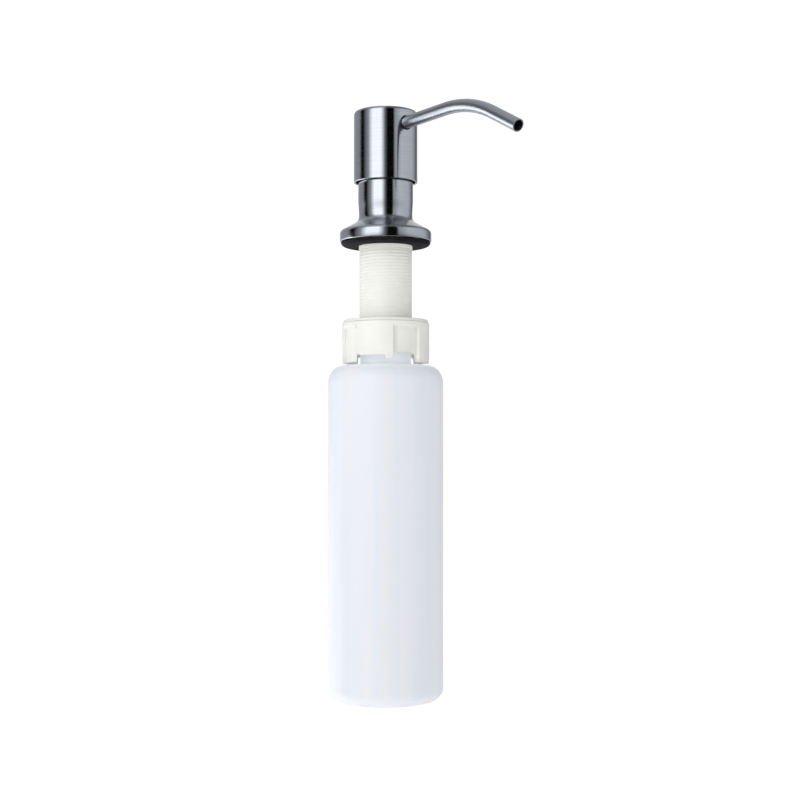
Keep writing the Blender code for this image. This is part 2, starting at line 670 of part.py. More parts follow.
def bottle_outline():
    """Neck finish, bead, shoulder, wall and pushed-up base outside, then the same inside."""
    base = BOTTLE_SHOULDER_Z - BOTTLE_HEIGHT
    shoulder_r = 7.0 * MM
    shoulder_z = 8.5 * MM
    foot = 7.0 * MM
    push_up = 1.6 * MM
    push_up_radius = 13.0 * MM
    neck_top = -32.3 * MM
    neck_bore = NECK_FINISH_RADIUS - 1.9 * MM
    gasket_room = 1.5 * MM + 2 * GAP
    bead_top = -SHANK_LENGTH - gasket_room
    bead_radius = SHANK_RADIUS - 0.4 * MM
    wall = BOTTLE_WALL

    outline = [(neck_bore, neck_top), (NECK_FINISH_RADIUS, neck_top), (NECK_FINISH_RADIUS, bead_top)]
    outline += [(bead_radius, bead_top), (bead_radius, BOTTLE_SHOULDER_Z)]
    outline += arc(
        BOTTLE_RADIUS - shoulder_r, BOTTLE_SHOULDER_Z - shoulder_z, shoulder_r, shoulder_z, 90, 0, 6,
    )
    outline += arc(BOTTLE_RADIUS - foot, base + foot, foot, foot, 0, -90, 5)
    outline += [(push_up_radius, base), (push_up_radius - 3 * MM, base + push_up), (0.0, base + push_up)]
    outline += [
        (0.0, base + push_up + wall),
        (push_up_radius - 3 * MM, base + push_up + wall),
        (push_up_radius, base + wall),
    ]
    inner_foot = foot - wall
    outline += arc(BOTTLE_RADIUS - foot, base + foot, inner_foot, inner_foot, -90, 0, 5)
    outline += arc(
        BOTTLE_RADIUS - shoulder_r, BOTTLE_SHOULDER_Z - shoulder_z,
        shoulder_r - wall, shoulder_z - wall, 0, 90, 6,
    )
    outline += [(neck_bore, BOTTLE_SHOULDER_Z - wall)]
    return outline


def make_bottle(looks):
    """The loop closes along the neck's bore, and both base discs reach the axis."""
    outline = bottle_outline()
    turn = next(i for i, (radius, _) in enumerate(outline) if radius == 0.0)
    # The base's two centre points split the loop into one open line from axis to axis.
    outline = outline[turn + 1:] + outline[:turn + 1]
    turned("bottle", outline, LARGE_STEPS, looks["plastic_bottle"])
    gasket_top = -SHANK_LENGTH - GAP
    ring(
        "bottle_neck_gasket", NECK_FINISH_RADIUS + GAP, SHANK_RADIUS - 0.5 * MM,
        gasket_top - 1.5 * MM, gasket_top, MEDIUM_STEPS, looks["rubber_seal"],
    )


def main():
    clear_scene()
    looks = make_looks()
    make_flange(looks)
    make_head_cap(looks)
    make_head_core(looks)
    make_spout(looks)
    make_pump_housing(looks)
    make_inlet_ball(looks)
    make_return_spring(looks)
    make_plunger(looks)
    make_shank(looks)
    make_clamp_nut(looks)
    make_bottle(looks)


main()
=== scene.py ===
"""Looks of the built-in soap dispenser: fine meshes, procedural materials, light and camera.

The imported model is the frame. Every piece takes its place and its outer size from the CAD node
that it stands for, and its finer sizes are named where it is made.
Units are metres, +Z is up, +X is the way the spout points, and Z is the dispenser's axis.
"""

import math

import bmesh
import bpy
from mathutils import Matrix, Vector


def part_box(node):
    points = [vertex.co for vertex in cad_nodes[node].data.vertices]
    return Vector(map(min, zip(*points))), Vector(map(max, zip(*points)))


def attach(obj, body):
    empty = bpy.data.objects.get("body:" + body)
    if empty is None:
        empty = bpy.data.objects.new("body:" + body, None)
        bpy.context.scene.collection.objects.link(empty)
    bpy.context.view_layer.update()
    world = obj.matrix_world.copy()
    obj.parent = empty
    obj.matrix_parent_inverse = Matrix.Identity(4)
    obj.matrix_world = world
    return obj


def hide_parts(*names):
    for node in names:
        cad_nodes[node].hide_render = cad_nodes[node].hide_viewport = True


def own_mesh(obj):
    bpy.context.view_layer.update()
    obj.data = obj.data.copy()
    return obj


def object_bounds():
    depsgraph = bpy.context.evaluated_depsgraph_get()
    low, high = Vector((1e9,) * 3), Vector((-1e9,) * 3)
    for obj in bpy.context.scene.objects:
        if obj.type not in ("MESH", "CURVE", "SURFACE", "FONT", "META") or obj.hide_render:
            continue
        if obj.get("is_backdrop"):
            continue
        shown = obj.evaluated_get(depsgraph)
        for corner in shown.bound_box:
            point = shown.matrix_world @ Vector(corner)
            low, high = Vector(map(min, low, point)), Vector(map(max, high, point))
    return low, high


MM = 0.001

# Camera: a long lens at the height of the bottle's upper half
CAMERA_AZIMUTH = math.radians(50)
CAMERA_DISTANCE = 0.7125
CAMERA_HEIGHT = -0.0964
CAMERA_LENS = 67.5
CAMERA_SHIFT_X = 0.0179
CAMERA_SHIFT_Y = 0.0625
CAMERA_SIDE = CAMERA_AZIMUTH - math.pi / 2      # the angle from +X at which the camera stands

SAME_POINT = 1e-6               # points nearer than this are one point
ON_AXIS = 1e-9                  # a turned point nearer to the axis than this is on it

# Faces around round pieces
FINE = 192
MEDIUM = 96
SMALL = 64


# ---------------- mesh helpers

def new_piece(name, verts, faces, smooth_angle=35):
    mesh = bpy.data.meshes.new(name)
    mesh.from_pydata([tuple(v) for v in verts], [], faces)
    mesh.validate()
    mesh.shade_smooth()
    mesh.set_sharp_from_angle(angle=math.radians(smooth_angle))
    piece = bpy.data.objects.new(name, mesh)
    bpy.context.scene.collection.objects.link(piece)
    return piece


def arc(center_r, center_z, radius_r, radius_z, start_deg, end_deg, steps):
    """Points of an elliptical arc in the (radius, height) plane."""
    points = []
    for i in range(steps + 1):
        angle = math.radians(start_deg + (end_deg - start_deg) * i / steps)
        points.append((center_r + radius_r * math.cos(angle), center_z + radius_z * math.sin(angle)))
    return points


def line(start, end, steps):
    """Points strictly between two points of an outline."""
    return [
        (start[0] + (end[0] - start[0]) * i / steps, start[1] + (end[1] - start[1]) * i / steps)
        for i in range(1, steps)
    ]


def eased(share):
    """A share from 0 to 1, with a soft start and end."""
    return share * share * (3 - 2 * share)


def rounded(points, radii, steps=5):
    """An outline with a fillet of the given radius at each of its corners."""
    made = []
    count = len(points)
    for i, radius in enumerate(radii):
        here = Vector(points[i])
        if radius == 0:
            made.append(tuple(here))
            continue
        back = (Vector(points[i - 1]) - here).normalized()
        ahead = (Vector(points[(i + 1) % count]) - here).normalized()
        half = back.angle(ahead) / 2
        reach = radius / math.tan(half)
        center = here + (back + ahead).normalized() * (radius / math.sin(half))
        first = here + back * reach - center
        last = here + ahead * reach - center
        sweep = first.angle_signed(last)
        for k in range(steps + 1):
            turn = Matrix.Rotation(-sweep * k / steps, 2)
            made.append(tuple(center + turn @ first))
    return made


def grid_faces(rows, columns, closed=True):
    """Faces between a grid's rows. Its columns meet in a ring, and so do its rows if closed."""
    faces = []
    for i in range(rows if closed else rows - 1):
        j = (i + 1) % rows
        for k in range(columns):
            n = (k + 1) % columns
            faces.append((i * columns + k, i * columns + n, j * columns + n, j * columns + k))
    return faces


def turned(name, outline, steps=FINE, smooth_angle=35, shape=None):
    """A piece turned about Z from (radius, height) points in a closed loop.

    Radius 0 is allowed where the outline crosses the axis. shape(angle, radius, height) may
    move each point, and gives back a new radius and height.
    """
    outline = [p for i, p in enumerate(outline) if math.dist(p, outline[i - 1]) > SAME_POINT]
    verts = []
    index = []
    on_axis = {}
    for i in range(steps):
        angle = math.tau * i / steps
        for k, (radius, height) in enumerate(outline):
            if radius < ON_AXIS and k in on_axis:
                index.append(on_axis[k])
                continue
            if radius < ON_AXIS:
                on_axis[k] = len(verts)
                radius = 0.0
            elif shape is not None:
                radius, height = shape(angle, radius, height)
            index.append(len(verts))
            verts.append((radius * math.cos(angle), radius * math.sin(angle), height))
    faces = []
    for corners in grid_faces(steps, len(outline)):
        face = [index[c] for c in corners]
        face = [c for spot, c in enumerate(face) if c != face[spot - 1]]
        if len(face) >= 3:
            faces.append(face)
    piece = new_piece(name, verts, faces, smooth_angle)
    face_outward(piece)
    return piece


def face_outward(piece):
    bm = bmesh.new()
    bm.from_mesh(piece.data)
    bmesh.ops.recalc_face_normals(bm, faces=bm.faces)
    bm.to_mesh(piece.data)
    bm.free()


def tube_piece(name, centers, crosses, radii, sides, closed_ends=True):
    """A skin through rings around a route.

    radii gives each ring's radius, so a route that turns back inside itself makes a pipe.
    """
    verts = []
    for center, (across, up), radius in zip(centers, crosses, radii):
        for k in range(sides):
            angle = math.tau * k / sides
            verts.append(center + across * radius * math.cos(angle) + up * radius * math.sin(angle))
    rings = len(centers)
    faces = grid_faces(rings, sides, not closed_ends)
    if closed_ends:
        faces.append(tuple(range(sides)))
        faces.append(tuple((rings - 1) * sides + k for k in range(sides)))
    piece = new_piece(name, verts, faces)
    face_outward(piece)
    return piece


def cut(piece, radius, start, end):
    """Cuts a round hole through a piece."""
    along = end - start
    bm = bmesh.new()
    turn = along.to_track_quat("Z", "Y").to_matrix().to_4x4()
    bmesh.ops.create_cone(
        bm, cap_ends=True, segments=SMALL, radius1=radius, radius2=radius,
        depth=along.length, matrix=Matrix.Translation((start + end) / 2) @ turn,
    )
    mesh = bpy.data.meshes.new("hole")
    bm.to_mesh(mesh)
    bm.free()
    tool = bpy.data.objects.new("hole", mesh)
    bpy.context.scene.collection.objects.link(tool)
    step = piece.modifiers.new("hole", "BOOLEAN")
    step.operation = "DIFFERENCE"
    step.solver = "EXACT"
    step.object = tool
    bpy.context.view_layer.update()
    depsgraph = bpy.context.evaluated_depsgraph_get()
    made = bpy.data.meshes.new_from_object(piece.evaluated_get(depsgraph))
    piece.modifiers.remove(step)
    piece.data = made
    bpy.data.objects.remove(tool, do_unlink=True)


def section_of(node):
    """The (radius, height) outline of a turned CAD node, read from its cut at angle 0."""
    bm = bmesh.new()
    bm.from_mesh(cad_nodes[node].data)
    bmesh.ops.remove_doubles(bm, verts=bm.verts, dist=SAME_POINT)
    in_plane = [v for v in bm.verts if abs(v.co.y) < SAME_POINT and v.co.x > -SAME_POINT]
    next_to = {v: [] for v in in_plane}
    for edge in bm.edges:
        first, second = edge.verts
        if first in next_to and second in next_to:
            next_to[first].append(second)
            next_to[second].append(first)
    start = next((v for v in in_plane if len(next_to[v]) == 1), in_plane[0])
    walked = [start]
    while True:
        ahead = [v for v in next_to[walked[-1]] if v not in walked]
        if not ahead:
            break
        walked.append(ahead[0])
    outline = [(max(0.0, v.co.x), v.co.z) for v in walked]
    bm.free()
    return outline


def softened(outline, radius):
    """The outline with each corner off the axis rounded as far as its edges let it."""
    edge_share = 0.3
    corners = []
    count = len(outline)
    for i, point in enumerate(outline):
        here = Vector(point)
        back = (here - Vector(outline[i - 1])).length
        ahead = (here - Vector(outline[(i + 1) % count])).length
        on_axis = point[0] < SAME_POINT
        corners.append(0 if on_axis else min(radius, edge_share * back, edge_share * ahead))
    return rounded(outline, corners, 3)


class Span:
    """Radius, bottom and top of a turned CAD node."""

    def __init__(self, node):
        low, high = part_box(node)
        self.radius = high.y
        self.bottom = low.z
        self.top = high.z
        self.height = high.z - low.z


def make_turned_inner(node, body, slot, look, radius=0.25 * MM, shape=None):
    """A finely turned piece with soft edges, in place of a plain inner CAD node."""
    piece = turned(node + "_fine", softened(section_of(node), radius), MEDIUM, 40, shape)
    place(piece, body, slot, look, node)


def place(piece, body, slot, look, *nodes):
    """Rides the piece on its body, in place of its CAD nodes, with its material."""
    piece.data.materials.clear()
    piece.data.materials.append(look)
    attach(piece, body)
    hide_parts(*nodes)


# ---------------- material helpers

class Nodes:
    """Short calls that add nodes to a material or a world."""

    def __init__(self, tree):
        self.tree = tree

    def add(self, kind, **values):
        node = self.tree.nodes.new(kind)
        for key, value in values.items():
            setattr(node, key, value)
        return node

    def link(self, source, target):
        self.tree.links.new(source, target)

    def math(self, operation, first, second=0.0):
        node = self.add("ShaderNodeMath", operation=operation)
        for socket, value in zip(node.inputs, (first, second)):
            if isinstance(value, (int, float)):
                socket.default_value = value
            else:
                self.link(value, socket)
        return node.outputs[0]

    def spread(self, source, low, high, out_low, out_high, **values):
        """The source's range from low to high, mapped to the range from out_low to out_high."""
        node = self.add("ShaderNodeMapRange", **values)
        names = ("From Min", "From Max", "To Min", "To Max")
        for name, value in zip(names, (low, high, out_low, out_high)):
            node.inputs[name].default_value = value
        self.link(source, node.inputs["Value"])
        return node.outputs["Result"]


class Look(Nodes):
    """A material with one Principled shader, and short calls for what goes into it."""

    def __init__(self, name, metallic=0.0):
        self.material = bpy.data.materials.new(name)
        self.material.use_nodes = True
        super().__init__(self.material.node_tree)
        self.shader = self.tree.nodes["Principled BSDF"]
        self.shader.inputs["Metallic"].default_value = metallic
        self.coordinates = self.add("ShaderNodeTexCoord")
        self.bump_in = None

    def object_point(self, scale=(1, 1, 1)):
        node = self.add("ShaderNodeMapping")
        node.inputs["Scale"].default_value = scale
        self.link(self.coordinates.outputs["Object"], node.inputs["Vector"])
        return node.outputs["Vector"]

    def noise(self, vector, scale, detail=3.0, roughness=0.5):
        node = self.add("ShaderNodeTexNoise")
        node.inputs["Scale"].default_value = scale
        node.inputs["Detail"].default_value = detail
        node.inputs["Roughness"].default_value = roughness
        self.link(vector, node.inputs["Vector"])
        return node.outputs["Fac"]

    def level(self, noise, low, high):
        """A noise's usual range, mapped to the range from low to high."""
        return self.spread(noise, 0.3, 0.7, low, high)

    def tint(self, source, dark, light):
        """Base colour between two colours, by a 0 to 1 source."""
        node = self.add("ShaderNodeMix", data_type="RGBA")
        node.inputs["A"].default_value = (*dark, 1)
        node.inputs["B"].default_value = (*light, 1)
        self.link(source, node.inputs["Factor"])
        self.link(node.outputs["Result"], self.shader.inputs["Base Color"])

    def bump(self, height, strength, distance):
        """Adds a bump on top of those already there."""
        node = self.add("ShaderNodeBump")
        node.inputs["Strength"].default_value = strength
        node.inputs["Distance"].default_value = distance
        self.link(height, node.inputs["Height"])
        if self.bump_in is not None:
            self.link(self.bump_in, node.inputs["Normal"])
        self.bump_in = node.outputs["Normal"]
        self.link(self.bump_in, self.shader.inputs["Normal"])

    def roughness(self, source):
        self.link(source, self.shader.inputs["Roughness"])

    def subsurface(self, weight, radius, scale):
        """Soft light inside: its share, its reach in red, green and blue, and their scale."""
        self.shader.inputs["Subsurface Weight"].default_value = weight
        self.shader.inputs["Subsurface Radius"].default_value = radius
        self.shader.inputs["Subsurface Scale"].default_value = scale


STEEL_DARK = (0.53, 0.55, 0.59)
STEEL_LIGHT = (0.68, 0.70, 0.74)


def brushed_around(name):
    """Steel brushed on a lathe: hair lines run round the axis, on walls and flats alike."""
    along_hairs = 26.0
    across_hairs = 2600.0
    look = Look(name, 1.0)
    split = look.add("ShaderNodeSeparateXYZ")
    look.link(look.coordinates.outputs["Object"], split.inputs[0])
    x, y, z = split.outputs
    squares = look.math("ADD", look.math("MULTIPLY", x, x), look.math("MULTIPLY", y, y))
    across = look.math("SUBTRACT", look.math("SQRT", squares), z)
    joined = look.add("ShaderNodeCombineXYZ")
    look.link(look.math("MULTIPLY", x, along_hairs), joined.inputs[0])
    look.link(look.math("MULTIPLY", y, along_hairs), joined.inputs[1])
    look.link(look.math("MULTIPLY", across, across_hairs), joined.inputs[2])
    hair = look.noise(joined.outputs[0], 1.0, detail=4.0, roughness=0.65)
    cloud = look.noise(look.object_point((60, 60, 60)), 1.0)
    look.tint(look.spread(hair, 0.25, 0.75, 0.2, 0.9), STEEL_DARK, STEEL_LIGHT)
    fine_rough = look.level(hair, 0.1, 0.14)
    look.roughness(look.math("ADD", fine_rough, look.level(cloud, -0.015, 0.02)))
    look.bump(hair, 0.06, 0.00001)
    look.shader.inputs["Anisotropic"].default_value = 0.9
    look.shader.inputs["Anisotropic Rotation"].default_value = 0.25
    tangent = look.add("ShaderNodeTangent", direction_type="RADIAL", axis="Z")
    look.link(tangent.outputs[0], look.shader.inputs["Tangent"])
    return look.material


def brushed_along(name):
    """Satin tube, rubbed along its length. It reads the tube's own round and along values."""
    around_hairs = 14.0
    along_hairs = 90.0
    look = Look(name, 1.0)
    around = look.add("ShaderNodeAttribute", attribute_name="around")
    along = look.add("ShaderNodeAttribute", attribute_name="along")
    point = look.add("ShaderNodeVectorMath", operation="MULTIPLY_ADD")
    look.link(around.outputs["Vector"], point.inputs[0])
    point.inputs[1].default_value = (around_hairs, around_hairs, around_hairs)
    lengthwise = look.add("ShaderNodeCombineXYZ")
    look.link(look.math("MULTIPLY", along.outputs["Fac"], along_hairs), lengthwise.inputs[2])
    look.link(lengthwise.outputs[0], point.inputs[2])
    hair = look.noise(point.outputs[0], 1.6, detail=4.0, roughness=0.6)
    cloud = look.noise(look.object_point((90, 90, 90)), 1.0)
    look.tint(look.spread(hair, 0.25, 0.75, 0.35, 0.9), STEEL_DARK, STEEL_LIGHT)
    fine_rough = look.level(hair, 0.31, 0.37)
    look.roughness(look.math("ADD", fine_rough, look.level(cloud, -0.02, 0.03)))
    look.bump(hair, 0.03, 0.00001)
    return look.material


def moulded(name, dark, light, roughness, grain=0.25, subsurface=0.15):
    """Moulded plastic: faint flow clouds, a fine spark grain and soft light inside."""
    look = Look(name)
    cloud = look.noise(look.object_point(), 70.0, roughness=0.55)
    fine = look.noise(look.object_point(), 3200.0, detail=2.0)
    look.tint(look.level(cloud, 0.0, 1.0), dark, light)
    fine_rough = look.level(fine, roughness - 0.06, roughness + 0.06)
    look.roughness(look.math("ADD", fine_rough, look.level(cloud, -0.03, 0.03)))
    look.bump(fine, grain, 0.00003)
    look.subsurface(subsurface, (0.9, 0.9, 0.85), 0.002)
    return look.material


def rubber(name, color):
    look = Look(name)
    fine = look.noise(look.object_point(), 2400.0, roughness=0.6)
    bloom = look.noise(look.object_point(), 160.0, detail=4.0, roughness=0.6)
    lighter = tuple(c * 1.8 + 0.006 for c in color)
    look.tint(look.spread(bloom, 0.35, 0.75, 0.0, 1.0), color, lighter)
    look.roughness(look.level(bloom, 0.52, 0.72))
    look.bump(fine, 0.35, 0.00005)
    look.shader.inputs["Specular IOR Level"].default_value = 0.08
    return look.material


PAINTED_WALL_GLOW = 0.18               # painted light: an even glow that flattens the bottle's shade, standing in for light through the milky wall
PAINTED_NECK_GLOW = 0.42                # painted light at the neck, stronger, which lifts the shade inside the nut


def milky_bottle(name):
    """Blow-moulded polythene: milky, satin, with upright streaks and slow waves in its skin, and a painted
    glow of light that is stronger at the neck.
    """
    look = Look(name)
    streak = look.noise(look.object_point((1, 1, 0.03)), 85.0, roughness=0.6)
    cloud = look.noise(look.object_point((1, 1, 0.35)), 45.0)
    waves = look.noise(look.object_point((1, 1, 0.25)), 60.0, detail=2.0)
    fine = look.noise(look.object_point(), 1500.0, roughness=0.6)
    mixed = look.math("ADD", look.math("MULTIPLY", streak, 0.75), look.math("MULTIPLY", cloud, 0.25))
    look.tint(look.spread(mixed, 0.36, 0.64, 0.0, 1.0), (0.545, 0.585, 0.65), (0.63, 0.61, 0.63))
    look.roughness(look.level(cloud, 0.3, 0.4))
    look.bump(waves, 0.25, 0.0006)
    look.bump(fine, 0.15, 0.00003)
    height = look.add("ShaderNodeSeparateXYZ")
    look.link(look.coordinates.outputs["Object"], height.inputs[0])
    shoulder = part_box("clamp_nut")[0].z
    # Painted light: emission that is weaker on the wall and stronger at the neck, in the nut's shade
    painted_glow = look.spread(height.outputs[2], shoulder - 3 * MM, shoulder + 1 * MM, PAINTED_WALL_GLOW, PAINTED_NECK_GLOW)
    look.shader.inputs["Emission Color"].default_value = (0.92, 0.96, 1.0, 1.0)
    look.link(painted_glow, look.shader.inputs["Emission Strength"])
    look.subsurface(0.6, (0.9, 0.95, 1.0), 0.004)
    return look.material


def bright_metal(name, color, roughness):
    look = Look(name, 1.0)
    fine = look.noise(look.object_point(), 1800.0)
    look.tint(look.level(fine, 0.0, 1.0), tuple(c * 0.85 for c in color), color)
    look.roughness(look.level(fine, roughness * 0.8, roughness * 1.3))
    look.bump(fine, 0.08, 0.00001)
    return look.material


# ---------------- steel pieces

SPOUT_RISE = math.radians(3.4)
SPOUT_FALL = math.radians(28.0)
SPOUT_BEND_RADIUS = 58.0 * MM
SPOUT_BORE_SHARE = 0.83
HOLE_PLAY = 0.5 * MM


class SpoutRoute:
    """The spout's centreline: a straight root, one bend and a straight nose, in the XZ plane.

    The nose ends so that its lowest and furthest points are those of the CAD tube.
    """

    def __init__(self):
        low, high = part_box("spout")
        self.radius = high.y
        self.root_x = low.x + self.radius * math.sin(SPOUT_RISE)
        self.tip = Vector((
            high.x - self.radius * math.sin(SPOUT_FALL),
            0.0,
            low.z + self.radius * math.cos(SPOUT_FALL),
        ))
        # The highest point of the centreline is a radius below the CAD tube's top.
        crest_z = high.z - self.radius
        fall_end_z = crest_z - SPOUT_BEND_RADIUS * (1 - math.cos(SPOUT_FALL))
        nose_length = (fall_end_z - self.tip.z) / math.sin(SPOUT_FALL)
        fall_end_x = self.tip.x - nose_length * math.cos(SPOUT_FALL)
        bend_x = fall_end_x - SPOUT_BEND_RADIUS * math.sin(SPOUT_FALL)
        self.center = Vector((bend_x, 0.0, crest_z - SPOUT_BEND_RADIUS))

    def on_bend(self, heading):
        return self.center + Vector((-math.sin(heading), 0.0, math.cos(heading))) * SPOUT_BEND_RADIUS

    def root_point(self, x):
        start = self.on_bend(SPOUT_RISE)
        return start + Vector((1.0, 0.0, math.tan(SPOUT_RISE))) * (x - start.x)

    def points(self):
        """(point, heading) pairs from the root to the tip."""
        straight_steps = 24
        bend_steps = 48
        nose_steps = 16
        made = [(self.root_point(self.root_x), SPOUT_RISE)]
        start = self.on_bend(SPOUT_RISE)
        for i in range(1, straight_steps):
            made.append((made[0][0].lerp(start, i / straight_steps), SPOUT_RISE))
        for i in range(bend_steps + 1):
            heading = SPOUT_RISE - (SPOUT_RISE + SPOUT_FALL) * i / bend_steps
            made.append((self.on_bend(heading), heading))
        end = made[-1][0]
        for i in range(1, nose_steps + 1):
            made.append((end.lerp(self.tip, i / nose_steps), -SPOUT_FALL))
        return made


def make_spout(route, look):
    """Thin-walled tube with a clean-cut, slightly broken edge at each end."""
    points = route.points()
    outer = route.radius
    bore = outer * SPOUT_BORE_SHARE
    edge = 0.1 * MM
    rings = []

    def ring(point, heading, radius, shift=0.0):
        ahead = Vector((math.cos(heading), 0.0, math.sin(heading)))
        up = Vector((-math.sin(heading), 0.0, math.cos(heading)))
        rings.append((point + ahead * shift, Vector((0.0, 1.0, 0.0)), up, radius))

    first, last = points[0], points[-1]
    ring(*first, outer - edge)
    ring(*first, outer, edge)
    for point, heading in points[1:-1]:
        ring(point, heading, outer)
    ring(*last, outer, -edge)
    ring(*last, outer - edge)
    ring(*last, bore + edge)
    ring(*last, bore, -edge)
    for point, heading in reversed(points[1:-1]):
        ring(point, heading, bore)
    ring(*first, bore, edge)
    ring(*first, bore + edge)
    piece = tube_piece(
        "spout_tube", [r[0] for r in rings], [(r[1], r[2]) for r in rings], [r[3] for r in rings],
        SMALL, closed_ends=False,
    )
    store_tube_coordinates(piece, rings)
    place(piece, "head", "steel_spout", look, "spout")


def store_tube_coordinates(piece, rings):
    """Keeps each point's direction from the centreline and its distance along, for the grain."""
    sides = len(piece.data.vertices) // len(rings)
    attributes = piece.data.attributes
    attributes.new("around", "FLOAT_VECTOR", "POINT")
    attributes.new("along", "FLOAT", "POINT")
    around = attributes["around"]
    along = attributes["along"]
    for i, (center, _, _, _) in enumerate(rings):
        for k in range(sides):
            angle = math.tau * k / sides
            around.data[i * sides + k].vector = (math.cos(angle), math.sin(angle), 0.0)
            along.data[i * sides + k].value = center.x


def make_head_cap(route, look):
    """Drawn steel cap with a rounded top edge, a rolled lower edge and the spout's hole."""
    cad = Span("head_cap")
    wall = 0.9 * MM
    fillet = 1.8 * MM
    lower = 0.2 * MM
    past_wall = 4 * MM
    inner = cad.radius - wall
    outline = [(0.0, cad.top)]
    outline += line((0.0, cad.top), (cad.radius - fillet, cad.top), 6)
    outline += arc(cad.radius - fillet, cad.top - fillet, fillet, fillet, 90, 0, 12)
    outline += line((cad.radius, cad.top - fillet), (cad.radius, cad.bottom + lower), 24)
    outline += arc(cad.radius - lower, cad.bottom + lower, lower, lower, 0, -90, 5)
    outline += arc(inner + lower, cad.bottom + lower, lower, lower, -90, -180, 5)
    inside = fillet - wall
    outline += arc(inner - inside, cad.top - wall - inside, inside, inside, 0, 90, 6)
    outline += [(0.0, cad.top - wall)]
    piece = turned("head_cap_shell", outline, FINE, 40)
    hole = route.radius + HOLE_PLAY
    cut(piece, hole, route.root_point(inner - past_wall), route.root_point(cad.radius + past_wall))
    smooth_turned_walls(piece, [cad.radius, inner], 0.02 * MM)
    place(piece, "head", "steel_head", look, "head_cap")


def smooth_turned_walls(piece, radii, tolerance):
    """Gives faces that lie on a turned wall the wall's true normals, so a cut leaves no shading."""
    nearly_same = 0.99
    mesh = piece.data
    mesh.shade_smooth()
    mesh.set_sharp_from_angle(angle=math.radians(40))
    normals = [Vector(n.vector) for n in mesh.corner_normals]
    for face in mesh.polygons:
        for corner in face.loop_indices:
            co = mesh.vertices[mesh.loops[corner].vertex_index].co
            out = Vector((co.x, co.y, 0.0))
            on_wall = any(abs(out.length - radius) < tolerance for radius in radii)
            if on_wall and abs(face.normal.dot(out.normalized())) > nearly_same:
                sign = 1 if face.normal.dot(out) > 0 else -1
                normals[corner] = out.normalized() * sign
    mesh.normals_split_custom_set(normals)


def flange_outline(cad):
    """Barrel, waist and flared foot outside, then the hollow underside and the bore."""
    barrel = 13.05 * MM
    waist = 12.73 * MM
    bore = 11.85 * MM
    slope = math.atan2(2.9, 5.35)           # the flare falls 2.9 mm over 5.35 mm
    slope_deg = math.degrees(slope)
    concave = 4.0 * MM
    convex = 2.2 * MM
    lip_top = cad.bottom + 3.6 * MM
    reach = math.tan((math.pi / 2 - slope) / 2)
    foot_z = lip_top + convex * reach
    corner_z = foot_z + (cad.radius - waist) * math.tan(slope)
    fillet_z = corner_z + concave * reach
    edge = 0.35 * MM
    outline = arc(bore + edge, cad.top - edge, edge, edge, 180, 90, 4)
    outline += arc(barrel - edge, cad.top - edge, edge, edge, 90, 0, 4)
    narrow_from = cad.bottom + 19.7 * MM
    narrow_to = fillet_z + 1.0 * MM
    narrowing = 14
    for i in range(narrowing + 1):
        share = i / narrowing
        radius = barrel + (waist - barrel) * eased(share)
        outline.append((radius, narrow_from + (narrow_to - narrow_from) * share))
    outline += arc(waist + concave, fillet_z, concave, concave, 180, 270 - slope_deg, 14)
    outline += arc(cad.radius - convex, lip_top, convex, convex, 90 - slope_deg, 0, 12)
    outline += arc(cad.radius - edge, cad.bottom + edge, edge, edge, 0, -90, 4)
    rim = 1.2 * MM
    inside_top = corner_z - 1.2 * MM
    outline += [
        (cad.radius - rim, cad.bottom),
        (cad.radius - rim, cad.bottom + 3.2 * MM),
        (bore + 0.6 * MM, inside_top),
        (bore, inside_top + 1.2 * MM),
    ]
    return outline


def make_flange(look):
    cad = Span("flange_body")
    piece = turned("flange_shell", flange_outline(cad), FINE, 40)
    place(piece, "base", "steel_flange", look, "flange_body")


# ---------------- rubber

def make_flange_gasket(look):
    """Flat black ring with a rounded outer edge and two fine sealing ribs underneath."""
    cad = Span("flange_gasket")
    hole = 12.8 * MM
    foot = 18.9 * MM
    rib = 0.12 * MM
    rib_half_width = 0.45 * MM
    outline = [(hole, cad.top), (cad.radius - 0.15 * MM, cad.top)]
    outline += arc(foot, cad.top, cad.radius - foot, cad.height - rib, -6, -90, 12)
    for center in (17.6 * MM, 15.9 * MM):
        outline += arc(center, cad.bottom + rib, rib_half_width, rib, 0, -180, 8)
    outline += [(hole + 0.2 * MM, cad.bottom + rib), (hole, cad.bottom + 0.3 * MM)]
    piece = turned("flange_gasket_ring", outline, FINE, 50)
    place(piece, "base", "rubber_black", look, "flange_gasket")


# ---------------- white plastic pieces

THREAD_PITCH = 1.5 * MM
THREAD_DEPTH = 0.13 * MM
THREAD_ROWS_PER_PITCH = 14


def thread_wave(turns):
    """Depth share of a rounded thread, from 0 at the crest to 1 at the root."""
    return eased(0.5 - 0.5 * math.cos(math.tau * turns))


